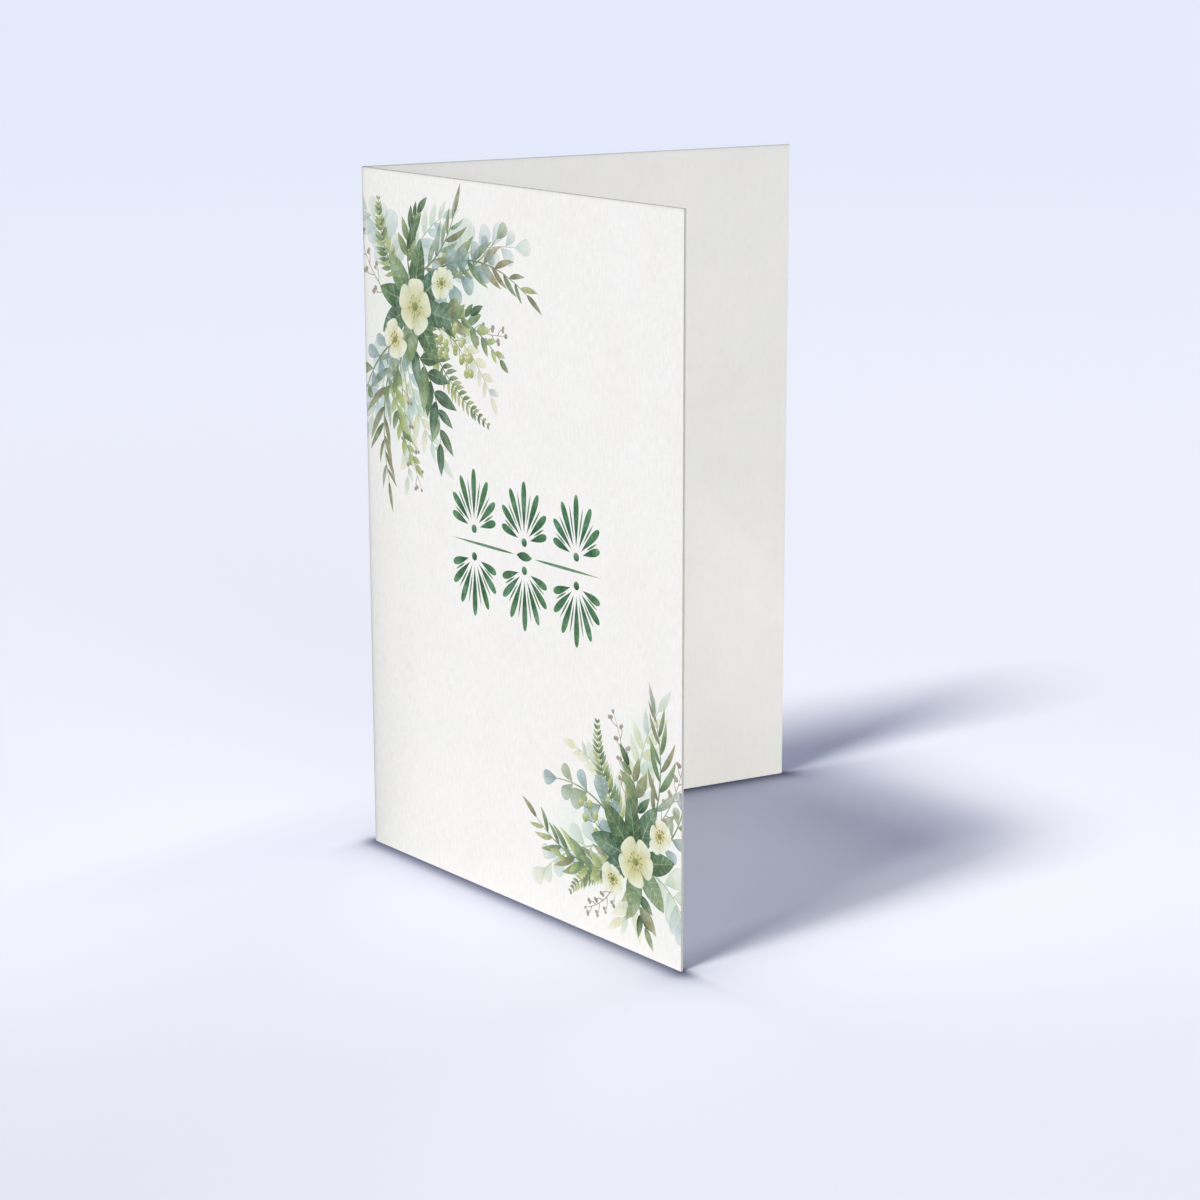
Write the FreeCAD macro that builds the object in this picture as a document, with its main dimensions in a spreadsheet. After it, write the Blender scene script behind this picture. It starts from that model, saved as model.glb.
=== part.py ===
"""A folded greeting card in the upright A6 format, standing open on its lower edges.

It is one sheet of heavy uncoated board, creased once down the middle and folded there. The cover leaf
and the back leaf are equal, and they stand at the opening angle to each other. The sheet's section, seen
from above, is the whole form: two flat leaves, a rounded fold outside and, inside it, the bead that
creasing raises. That section is drawn once and raised to the height of the card.

The frame: the crease line is the Z axis, and Z = 0 is the surface that the card stands on. The cover
leaf lies along +X with its outer face towards -Y, and the back leaf turns from it towards +Y.
"""

import FreeCAD, Part
import math
import os
import Sketcher

PARTS_FOLDER = "parts"
NODE = "folded_card"

# Driving dimensions, in millimetres and degrees: alias, value, what it is
SIZES = (
    ("panel_width", 105.0, "each leaf, from the crease line to its free edge"),
    ("panel_height", 148.0, "both leaves, from the standing edge to the top edge"),
    ("board_thickness", 0.5, "heavy uncoated board of about 400 g/m2"),
    ("opening_angle", 80.0, "between the inner faces of the two leaves"),
    ("fold_radius", 0.8, "the outer rounding of the folded crease"),
    ("bead_radius", 0.4, "the bead that creasing raises inside the fold"),
)

# Sketcher's names for a curve's points, and for the origin and the horizontal axis
START, END, CENTRE = 1, 2, 3
ORIGIN = (-1, 1)
X_AXIS = -1


def make_sheet(doc):
    """Write each driving dimension into a spreadsheet, under its alias, and return the sheet."""
    sheet = doc.addObject("Spreadsheet::Sheet", "Sizes")
    for row, (alias, value, meaning) in enumerate(SIZES, start=1):
        sheet.set(f"A{row}", alias)
        sheet.set(f"B{row}", str(value))
        sheet.set(f"C{row}", meaning)
        sheet.setAlias(f"B{row}", alias)
    doc.recompute()
    return sheet


def origin_plane(body, role):
    """Return the plane of a body's own origin that plays this role."""
    return next(feature for feature in body.Origin.OriginFeatures if feature.Role == role)


def point_at(distance, degrees):
    """Return the point of the section at this distance and direction from the crease line."""
    angle = math.radians(degrees)
    return FreeCAD.Vector(distance * math.cos(angle), distance * math.sin(angle), 0.0)


def arc(centre, radius, first_degrees, last_degrees):
    """Return the arc about centre that runs anticlockwise between two directions."""
    circle = Part.Circle(centre, FreeCAD.Vector(0, 0, 1), radius)
    return Part.ArcOfCircle(circle, math.radians(first_degrees), math.radians(last_degrees))


def section_curves(sheet):
    """Return the closed outline of the folded sheet, as seen from above.

    It starts where the fold's rounding meets the cover's outer face, and runs anticlockwise: along the
    cover's outer face, round its free edge, back along its inner face, over the bead, out along the back
    leaf's inner face, round that free edge, back along its outer face, and round the fold.
    """
    width = sheet.panel_width
    board = sheet.board_thickness
    opening = sheet.opening_angle
    outwards = point_at(board, opening + 90.0)

    # The fold's rounding is centred on the bisector of the opening, one radius in from both outer faces.
    inset = sheet.fold_radius - board
    fold_centre = point_at(inset / math.sin(math.radians(opening / 2.0)), opening / 2.0)

    cover_fold = fold_centre + FreeCAD.Vector(0, -sheet.fold_radius, 0)
    cover_outer_corner = FreeCAD.Vector(width, -board, 0)
    cover_inner_corner = FreeCAD.Vector(width, 0, 0)
    back_inner_corner = point_at(width, opening)
    back_outer_corner = back_inner_corner + outwards
    back_fold = fold_centre + point_at(sheet.fold_radius, opening + 90.0)
    return (
        Part.LineSegment(cover_fold, cover_outer_corner),
        Part.LineSegment(cover_outer_corner, cover_inner_corner),
        Part.LineSegment(cover_inner_corner, point_at(sheet.bead_radius, 0.0)),
        arc(FreeCAD.Vector(0, 0, 0), sheet.bead_radius, 0.0, opening),
        Part.LineSegment(point_at(sheet.bead_radius, opening), back_inner_corner),
        Part.LineSegment(back_inner_corner, back_outer_corner),
        Part.LineSegment(back_outer_corner, back_fold),
        arc(fold_centre, sheet.fold_radius, opening + 90.0, 270.0),
    )


def add_size(sketch, name, alias, *constraint):
    """Add a dimension to the sketch and bind it to the sheet's cell of that alias."""
    index = sketch.addConstraint(Sketcher.Constraint(*constraint))
    sketch.renameConstraint(index, name)
    sketch.setExpression(f"Constraints.{name}", f"Sizes.{alias}")


def draw_section(body, sheet):
    """Draw the sheet's section on the body's XY plane, fully constrained, and return the sketch."""
    sketch = body.newObject("Sketcher::SketchObject", "Section")
    sketch.AttachmentSupport = [(origin_plane(body, "XY_Plane"), "")]
    sketch.MapMode = "FlatFace"

    curves = section_curves(sheet)
    indices = [sketch.addGeometry(curve, False) for curve in curves]
    cover_outer, cover_edge, cover_inner, bead, back_inner, back_edge, back_outer, fold = indices

    corners = (
        (cover_outer, cover_edge),
        (cover_edge, cover_inner),
        (cover_inner, bead),
        (bead, back_inner),
        (back_inner, back_edge),
        (back_edge, back_outer),
    )
    for before, after in corners:
        sketch.addConstraint(Sketcher.Constraint("Coincident", before, END, after, START))

    # The fold's rounding runs smoothly into both outer faces.
    sketch.addConstraint(Sketcher.Constraint("Tangent", back_outer, END, fold, START))
    sketch.addConstraint(Sketcher.Constraint("Tangent", fold, END, cover_outer, START))

    # The cover lies along X, its inner face on the axis, and its free edge is cut square.
    sketch.addConstraint(Sketcher.Constraint("Horizontal", cover_outer))
    sketch.addConstraint(Sketcher.Constraint("Vertical", cover_edge))
    sketch.addConstraint(Sketcher.Constraint("Horizontal", cover_inner))
    sketch.addConstraint(Sketcher.Constraint("PointOnObject", cover_inner, END, X_AXIS))

    # The bead is centred on the crease line, and the back leaf's inner face passes through that line.
    sketch.addConstraint(Sketcher.Constraint("Coincident", bead, CENTRE, *ORIGIN))
    sketch.addConstraint(Sketcher.Constraint("PointOnObject", *ORIGIN, back_inner))
    sketch.addConstraint(Sketcher.Constraint("Perpendicular", back_inner, back_edge))
    sketch.addConstraint(Sketcher.Constraint("Parallel", back_inner, back_outer))

    width = sheet.panel_width
    board = sheet.board_thickness
    opening = math.radians(sheet.opening_angle)
    add_size(sketch, "opening", "opening_angle", "Angle", back_inner, opening)
    add_size(sketch, "cover_width", "panel_width", "DistanceX", *ORIGIN, cover_edge, END, width)
    add_size(sketch, "back_width", "panel_width", "Distance", *ORIGIN, back_inner, END, width)
    add_size(sketch, "cover_board", "board_thickness", "Distance", cover_edge, board)
    add_size(sketch, "back_board", "board_thickness", "Distance", back_edge, board)
    add_size(sketch, "bead", "bead_radius", "Radius", bead, sheet.bead_radius)
    add_size(sketch, "fold", "fold_radius", "Radius", fold, sheet.fold_radius)
    return sketch


def make_folded_card(doc, sheet):
    """Raise the section of the folded sheet to the height of the card, and return the body."""
    body = doc.addObject("PartDesign::Body", "FoldedCard")
    body.Label = NODE
    sketch = draw_section(body, sheet)
    doc.recompute()

    leaves = body.newObject("PartDesign::Pad", "Leaves")
    leaves.Profile = sketch
    leaves.setExpression("Length", "Sizes.panel_height")
    sketch.Visibility = False
    body.Placement = FreeCAD.Placement(FreeCAD.Vector(0, 0, 0), FreeCAD.Rotation())
    doc.recompute()
    return body


def check(doc, bodies):
    """Stop if any object of the document failed, or a sub-part has no valid solid."""
    for item in doc.Objects:
        if {"Invalid", "Error"} & set(item.State):
            raise RuntimeError(f"{item.Label} failed: {item.State}")
    for body in bodies:
        if body.Shape.isNull() or not body.Shape.isValid():
            raise RuntimeError(f"{body.Label} has no valid shape")


def export(bodies):
    """Write each sub-part's shape to a STEP file named after it."""
    os.makedirs(PARTS_FOLDER, exist_ok=True)
    for body in bodies:
        body.Shape.exportStep(os.path.join(PARTS_FOLDER, f"{body.Label}.step"))
        box = body.Shape.BoundBox
        print(f"{body.Label}: {box.XLength:.2f} x {box.YLength:.2f} x {box.ZLength:.2f} mm, "
              f"{body.Shape.Volume:.1f} mm3, {len(body.Shape.Solids)} solid")


def main():
    """Build the card from its sizes, check it and write its file."""
    doc = FreeCAD.newDocument("GreetingCard")
    sheet = make_sheet(doc)
    bodies = [make_folded_card(doc, sheet)]
    check(doc, bodies)
    export(bodies)


main()
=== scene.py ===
"""Dress a folded greeting card that stands open on a pale floor.

The card is one sheet of uncoated board. Its outer face is laid out flat, with the outline of every brush
mark of the print cut into it, and the sheet is then given its thickness and folded round the crease. The
print is watercolour: two corner sprays of foliage and blossom, and a dark green ornament between them.
Sizes of the print are in millimetres on the cover, measured from the crease and the standing edge.
"""

import logging
import math
import random
from collections.abc import Iterable, Iterator, Sequence
from dataclasses import dataclass, field
from enum import Enum

import bpy
import numpy as np
from mathutils import Matrix, Vector
from mathutils.geometry import delaunay_2d_cdt


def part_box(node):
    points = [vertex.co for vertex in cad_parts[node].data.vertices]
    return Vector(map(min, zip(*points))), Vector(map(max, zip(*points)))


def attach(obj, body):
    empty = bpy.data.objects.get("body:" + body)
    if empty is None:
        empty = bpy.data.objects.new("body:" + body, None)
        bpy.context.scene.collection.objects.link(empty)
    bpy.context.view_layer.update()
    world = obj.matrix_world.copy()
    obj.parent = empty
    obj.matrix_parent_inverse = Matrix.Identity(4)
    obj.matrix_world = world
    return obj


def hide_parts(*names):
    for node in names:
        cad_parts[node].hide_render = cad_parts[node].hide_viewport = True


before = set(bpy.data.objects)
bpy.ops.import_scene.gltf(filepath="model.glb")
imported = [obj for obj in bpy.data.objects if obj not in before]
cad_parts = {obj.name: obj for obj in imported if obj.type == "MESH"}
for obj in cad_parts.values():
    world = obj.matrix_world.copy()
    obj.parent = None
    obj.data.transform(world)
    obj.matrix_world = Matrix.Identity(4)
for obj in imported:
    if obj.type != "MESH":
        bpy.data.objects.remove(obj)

NODE = "folded_card"
BODY = "root"
METRES = 0.001

RGB = tuple[float, float, float]
Point = tuple[float, float]
Place = tuple[float, float, float]

PAPER: RGB = (246, 246, 243)

log = logging.getLogger("card")


def linear(colour: RGB) -> np.ndarray:
    """Turn a display colour, 0 to 255, into linear light.

    Args:
        colour: red, green and blue as a screen shows them.

    Returns:
        The same colour as linear values, 0 to 1.
    """
    share = np.asarray(colour, dtype=float) / 255.0
    return np.where(share <= 0.04045, share / 12.92, ((share + 0.055) / 1.055) ** 2.4)


def direction(degrees: float) -> np.ndarray:
    """Return the unit vector that points this way, anticlockwise from +X."""
    angle = math.radians(degrees)
    return np.array([math.cos(angle), math.sin(angle)])


# Brush marks

RIM_FROM_WIDTH = 1.6
RIM_SHARE = 0.74


class Profile(Enum):
    """How wide a mark is along its spine: the powers of the way from its base and of the way to its tip."""

    BLADE = (1.0, 1.0)
    LANCE = (0.75, 1.15)
    OVATE = (0.55, 0.85)
    SPOON = (1.25, 0.5)
    PETAL = (0.8, 0.34)
    DISC = (0.5, 0.5)

    def widths(self, along: np.ndarray) -> np.ndarray:
        """Return the share of the full width at each share of the way from base to tip."""
        base_power, tip_power = self.value
        widest = base_power / (base_power + tip_power)
        top = widest**base_power * (1.0 - widest) ** tip_power
        return np.clip(along, 0, 1) ** base_power * np.clip(1.0 - along, 0, 1) ** tip_power / top


@dataclass(frozen=True)
class Paint:
    """A watercolour as it dries on the paper.

    Attributes:
        base: its colour where the mark begins, as displayed.
        tip: its colour where the mark ends.
        body: how far it hides what lies under it, against tinting it.
        rim: how much darker it pools along the outline.
        shade: how much darker the half beyond the spine is.
        fade: how much thinner it gets towards the tip.
    """

    base: RGB
    tip: RGB
    body: float = 0.9
    rim: float = 0.16
    shade: float = 0.12
    fade: float = 0.0


class Colour(Enum):
    """The paints on the palette."""

    DEEP = Paint((62, 90, 68), (116, 142, 106), body=0.94, rim=0.12, shade=0.18)
    BOTTLE = Paint((66, 94, 76), (118, 146, 120), body=0.94, rim=0.12, shade=0.18)
    LEAF = Paint((102, 130, 96), (166, 182, 142), body=0.88, rim=0.14, shade=0.14)
    LIME = Paint((160, 176, 116), (208, 214, 164), body=0.84, rim=0.14, shade=0.1)
    OLIVE = Paint((130, 132, 106), (182, 183, 150), body=0.84, rim=0.14, shade=0.12)
    SAGE = Paint((146, 164, 142), (198, 208, 190), body=0.66, rim=0.15, shade=0.08)
    STEEL = Paint((138, 162, 162), (194, 209, 208), body=0.6, rim=0.16, shade=0.08)
    MIST = Paint((188, 208, 206), (216, 227, 224), body=0.5, rim=0.12, shade=0.06, fade=0.3)
    MINT = Paint((200, 218, 204), (224, 233, 222), body=0.5, rim=0.1, shade=0.05, fade=0.35)
    STRAW = Paint((218, 222, 188), (236, 236, 214), body=0.5, rim=0.1, shade=0.05, fade=0.3)
    TWIG = Paint((150, 142, 128), (180, 172, 158), body=0.9, rim=0.0, shade=0.0)
    STEM = Paint((116, 126, 98), (152, 158, 128), body=0.92, rim=0.0, shade=0.0)
    PALE_STEM = Paint((178, 192, 172), (200, 210, 190), body=0.7, rim=0.0, shade=0.0)
    RIB = Paint((176, 192, 156), (190, 204, 168), body=0.45, rim=0.0, shade=0.0)
    CREAM = Paint((208, 202, 140), (246, 243, 222), body=0.98, rim=0.12, shade=0.06)
    IVORY = Paint((220, 216, 168), (248, 246, 232), body=0.98, rim=0.12, shade=0.05)
    HEART = Paint((134, 146, 84), (168, 170, 100), body=1.0, rim=0.2, shade=0.1)
    POLLEN = Paint((190, 162, 92), (170, 142, 80), body=1.0, rim=0.1, shade=0.0)
    BERRY = Paint((158, 170, 104), (202, 206, 150), body=0.97, rim=0.2, shade=0.12)
    GLINT = Paint((236, 238, 214), (240, 241, 222), body=0.75, rim=0.0, shade=0.0)
    INK = Paint((40, 84, 62), (92, 138, 96), body=1.0, rim=0.1, shade=0.16)
    INK_LINE = Paint((84, 122, 92), (112, 146, 114), body=1.0, rim=0.0, shade=0.0)


@dataclass
class Mark:
    """One brush mark: a spine with a width along it, in one paint.

    Attributes:
        spine: points from base to tip, in millimetres on the cover.
        half: half the mark's width at each of those points.
        colour: its paint.
        ring: where the pooled rim ends, as a share of the half width, or 0 for a mark with no rim.
        veins: how strongly side veins show.
        seed: a number of its own, which shifts its grain.
    """

    spine: np.ndarray
    half: np.ndarray
    colour: Colour
    ring: float = 0.0
    veins: float = 0.0
    seed: float = 0.0

    BLUNT = 0.02
    THINNEST = 0.04

    def outline(self, share: float = 1.0) -> np.ndarray:
        """Return the closed outline at this share of the width, anticlockwise, with no doubled points."""
        ahead = np.gradient(self.spine, axis=0)
        ahead /= np.maximum(np.linalg.norm(ahead, axis=1, keepdims=True), 1e-9)
        aside = np.stack([-ahead[:, 1], ahead[:, 0]], axis=1) * self.half[:, None] * share
        inner = slice(1, -1)
        there, back = (self.spine - aside)[inner], (self.spine + aside)[inner][::-1]
        if share < 1.0:
            return np.concatenate([there, back])
        ends = []
        for end, sign in ((0, 1), (-1, -1)):
            corners = [self.spine[end] + sign * aside[end], self.spine[end] - sign * aside[end]]
            ends.append(np.array(corners if self.half[end] > self.BLUNT else [self.spine[end]]))
        return np.concatenate([ends[0], there, ends[1], back])

    def outlines(self) -> Iterator[np.ndarray]:
        """Yield the outline, and the line where the pooled rim ends if the mark has one."""
        yield self.outline()
        if self.ring:
            yield self.outline(self.ring)

    def locate(self, points: np.ndarray) -> tuple[np.ndarray, np.ndarray]:
        """Find where points lie along and across the mark.

        Args:
            points: an array of points on the cover, (n, 2).

        Returns:
            The share of the way from base to tip, and the share of the half width, left positive.
        """
        begins, steps = self.spine[:-1], np.diff(self.spine, axis=0)
        lengths = np.maximum(np.linalg.norm(steps, axis=1), 1e-9)
        offsets = points[:, None, :] - begins[None]
        along = np.clip((offsets * steps[None]).sum(2) / lengths[None] ** 2, 0, 1)
        gaps = offsets - along[..., None] * steps[None]
        nearest = np.linalg.norm(gaps, axis=2).argmin(1)
        rows = np.arange(len(points))
        along, gaps = along[rows, nearest], gaps[rows, nearest]
        step = steps[nearest] / lengths[nearest, None]
        aside = step[:, 0] * gaps[:, 1] - step[:, 1] * gaps[:, 0]
        half = self.half[nearest] * (1 - along) + self.half[nearest + 1] * along
        travelled = np.concatenate([[0.0], np.cumsum(lengths)])
        share = (travelled[nearest] + along * lengths[nearest]) / travelled[-1]
        return share, np.clip(aside / np.maximum(half, self.THINNEST), -1, 1)


def leaf_mark(
    base: Sequence[float],
    heading: float,
    length: float,
    width: float,
    colour: Colour,
    profile: Profile = Profile.LANCE,
    bend: float = 0.0,
    veins: float = 0.0,
    seed: float = 0.0,
    steps: int = 12,
) -> Mark:
    """Make a leaf-like mark whose spine curves evenly.

    Args:
        base: where it begins.
        heading: the way it points at its middle, in degrees.
        length: from base to tip.
        width: at its widest.
        colour: its paint.
        profile: how the width runs.
        bend: how far it turns from base to tip, in degrees.
        veins: how strongly side veins show.
        seed: a number of its own.
        steps: how many steps the spine has.

    Returns:
        The mark, with a pooled rim where it is wide enough to show one.
    """
    # The steps are shorter at both ends, where the outline turns most.
    along = 0.5 - 0.5 * np.cos(np.linspace(0, math.pi, steps + 1))
    turns = heading + bend * ((along[:-1] + along[1:]) / 2 - 0.5)
    strides = np.diff(along) * length
    moves = np.stack([np.cos(np.radians(turns)), np.sin(np.radians(turns))], axis=1) * strides[:, None]
    spine = np.concatenate([[np.asarray(base, dtype=float)], np.asarray(base) + np.cumsum(moves, axis=0)])
    half = profile.widths(along) * width / 2
    ring = RIM_SHARE if width > RIM_FROM_WIDTH else 0.0
    return Mark(spine, half, colour, ring, veins, seed)


def rib_mark(leaf: Mark, width: float) -> Mark:
    """Return the pale rib that runs up the middle of a leaf."""
    reach = max(3, int(len(leaf.spine) * 0.86))
    taper = np.linspace(1.0, 0.25, reach) * width / 2
    taper[0] = 0.02
    return Mark(leaf.spine[:reach], np.minimum(taper, leaf.half[:reach] * 0.5 + 0.01), Colour.RIB)


def stroke_mark(path: np.ndarray, width: float, tip_width: float, colour: Colour) -> Mark:
    """Return a tapering stroke along a path."""
    return Mark(path, np.linspace(width, tip_width, len(path)) / 2, colour)


def disc_mark(centre: Sequence[float], radius: float, colour: Colour, seed: float = 0.0) -> Mark:
    """Return a round mark."""
    base = np.asarray(centre) - np.array([0.0, radius])
    return leaf_mark(base, 90.0, 2 * radius, 2 * radius, colour, Profile.DISC, seed=seed, steps=10)


def bow_path(root: Sequence[float], tip: Sequence[float], bow: float, steps: int) -> np.ndarray:
    """Return points along a curve that bows to its left.

    Args:
        root: where it begins.
        tip: where it ends.
        bow: how far its middle stands off the straight line, in millimetres.
        steps: how many steps it has.

    Returns:
        An array of points, (steps + 1, 2).
    """
    start, end = np.asarray(root, dtype=float), np.asarray(tip, dtype=float)
    run = end - start
    aside = np.array([-run[1], run[0]]) / np.linalg.norm(run)
    control = (start + end) / 2 + aside * bow * 2
    t = np.linspace(0, 1, steps + 1)[:, None]
    return (1 - t) ** 2 * start + 2 * t * (1 - t) * control + t**2 * end


def headings_of(path: np.ndarray) -> np.ndarray:
    """Return the way a path points at each of its points, in degrees."""
    ahead = np.gradient(path, axis=0)
    return np.degrees(np.arctan2(ahead[:, 1], ahead[:, 0]))


# Motifs, each a few marks


@dataclass(frozen=True)
class LeafKind:
    """A kind of leaf.

    Attributes:
        profile: how its width runs.
        length: from base to tip.
        width: at its widest.
        colours: the paints that its own is drawn from.
        bend: how far it turns towards its tip.
        rib: the width of its pale rib, or 0.
        veins: how strongly its side veins show.
    """

    profile: Profile
    length: float
    width: float
    colours: tuple[Colour, ...]
    bend: float = 14.0
    rib: float = 0.0
    veins: float = 0.0


@dataclass(frozen=True)
class Stemmed:
    """A motif that grows along one bowed stem.

    Attributes:
        root: where the stem begins.
        tip: where it ends.
        bow: how far it bows to its left.
        seed: what the motif's small differences are drawn from.
    """

    root: Point
    tip: Point
    bow: float
    seed: int = field(default=1, kw_only=True)

    STEPS = 40

    def grow(self) -> tuple[random.Random, np.ndarray, np.ndarray]:
        """Return the source of its small differences, the stem's points and the way it points at each."""
        path = bow_path(self.root, self.tip, self.bow, self.STEPS)
        return random.Random(self.seed), path, headings_of(path)

    def spot(self, share: float) -> int:
        """Return the number of the stem's point at this share of the way to its tip."""
        return int(round(share * self.STEPS))


@dataclass(frozen=True)
class Sprig(Stemmed):
    """A stem with leaves to both sides and one at its end.

    Attributes:
        pairs: how many pairs of leaves it has.
        leaf: their kind.
        spread: the angle between stem and leaf, in degrees.
        stem: the stem's paint.
        girth: the stem's width at its root.
        bare: the share of the stem with no leaves.
        opposite: whether the leaves stand in pairs, or by turns.
    """

    pairs: int
    leaf: LeafKind
    spread: float = 48.0
    stem: Colour = Colour.STEM
    girth: float = 0.55
    bare: float = 0.18
    opposite: bool = False

    def marks(self) -> list[Mark]:
        """Return the stem and its leaves, those nearer the root last."""
        draw, path, heads = self.grow()
        marks = [stroke_mark(path[::4], self.girth, self.girth * 0.35, self.stem)]
        places = []
        for pair in range(self.pairs):
            for side in (-1, 1):
                lag = 0.0 if self.opposite else 0.5 * (side > 0)
                share = self.bare + (1 - self.bare) * (pair + lag) / self.pairs
                places.append((min(share + draw.uniform(-0.012, 0.012), 0.98), side))
        places.sort(reverse=True)
        leaves = [self._leaf(path[-1], heads[-1] + draw.uniform(-6, 6), 0.82, 0, draw)]
        for share, side in places:
            spot = self.spot(share)
            size = (0.72 + 0.38 * math.sin(math.pi * min(share + 0.1, 1.0))) * draw.uniform(0.8, 1.12)
            angle = self.spread * (1.06 - 0.35 * share) + draw.uniform(-10, 10)
            leaves.append(self._leaf(path[spot], heads[spot] + side * angle, size, side, draw))
        for leaf in leaves:
            marks.extend(leaf)
        return marks

    def _leaf(
        self, base: np.ndarray, heading: float, size: float, side: int, draw: random.Random
    ) -> list[Mark]:
        """Return one leaf, and its rib if its kind has one."""
        kind = self.leaf
        mark = leaf_mark(
            base,
            heading,
            kind.length * size,
            kind.width * size * draw.uniform(0.88, 1.08),
            draw.choice(kind.colours),
            kind.profile,
            bend=-side * kind.bend + draw.uniform(-12, 12),
            veins=kind.veins,
            seed=draw.random(),
        )
        return [mark, rib_mark(mark, kind.rib)] if kind.rib else [mark]


@dataclass(frozen=True)
class Frond(Stemmed):
    """A fern frond: a stem with many narrow leaflets that shorten to its tip.

    Attributes:
        pairs: how many pairs of leaflets it has.
        reach: the length of its longest leaflets.
        colours: the paints that theirs are drawn from.
    """

    pairs: int = 17
    reach: float = 7.0
    colours: tuple[Colour, ...] = (Colour.LEAF, Colour.LIME)

    STEPS = 60

    def marks(self) -> list[Mark]:
        """Return the stem and its leaflets, from the tip down."""
        draw, path, heads = self.grow()
        marks = [stroke_mark(path[::5], 0.45, 0.15, Colour.STEM)]
        for pair in reversed(range(self.pairs)):
            share = 0.14 + 0.84 * pair / (self.pairs - 1)
            spot = self.spot(share)
            reach = self.reach * (min(1.0, 0.45 + share * 2.4)) * (1.0 - share) ** 0.72 + 0.9
            for side in (-1, 1):
                marks.append(
                    leaf_mark(
                        path[spot],
                        heads[spot] + side * (66 - 26 * share + draw.uniform(-4, 4)),
                        reach * draw.uniform(0.9, 1.06),
                        0.5 + 0.15 * reach,
                        draw.choice(self.colours),
                        Profile.LANCE,
                        bend=-side * 22,
                        seed=draw.random(),
                        steps=8,
                    )
                )
        return marks


@dataclass(frozen=True)
class Twig(Stemmed):
    """A thin branching twig with round seed heads or berries.

    Attributes:
        forks: how many side shoots it has.
        shoot: their length.
        bead: the radius of what they carry.
        colours: the paints of what they carry.
        wood: the twig's paint.
    """

    forks: int = 7
    shoot: float = 5.0
    bead: float = 0.55
    colours: tuple[Colour, ...] = (Colour.TWIG,)
    wood: Colour = Colour.TWIG

    GLINT_FROM_RADIUS = 0.8

    def marks(self) -> list[Mark]:
        """Return the twig, its shoots and what they carry."""
        draw, path, heads = self.grow()
        marks = [stroke_mark(path[::4], 0.34, 0.14, self.wood)]
        for fork in range(self.forks):
            share = 0.3 + 0.68 * fork / self.forks
            spot = self.spot(share)
            side = -1 if fork % 2 else 1
            length = self.shoot * (1.1 - 0.45 * share) * draw.uniform(0.8, 1.15)
            end = path[spot] + direction(heads[spot] + side * draw.uniform(30, 46)) * length
            shoot = bow_path(path[spot], end, side * 0.08 * length, 8)
            marks.append(stroke_mark(shoot, 0.24, 0.12, self.wood))
            middle = shoot[5] + direction(heads[spot] - side * 12) * length * 0.3
            marks.append(stroke_mark(bow_path(shoot[5], middle, 0.1, 4), 0.2, 0.12, self.wood))
            marks.extend(self._bead(end, draw))
            marks.extend(self._bead(middle, draw))
        marks.extend(self._bead(path[-1], draw))
        return marks

    def _bead(self, place: np.ndarray, draw: random.Random) -> list[Mark]:
        """Return one seed head or berry, with a glint where it is large."""
        radius = self.bead * draw.uniform(0.8, 1.2)
        marks = [disc_mark(place, radius, draw.choice(self.colours), draw.random())]
        if radius > self.GLINT_FROM_RADIUS:
            marks.append(disc_mark(place + np.array([-0.28, 0.32]) * radius, radius * 0.24, Colour.GLINT))
        return marks


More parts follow.
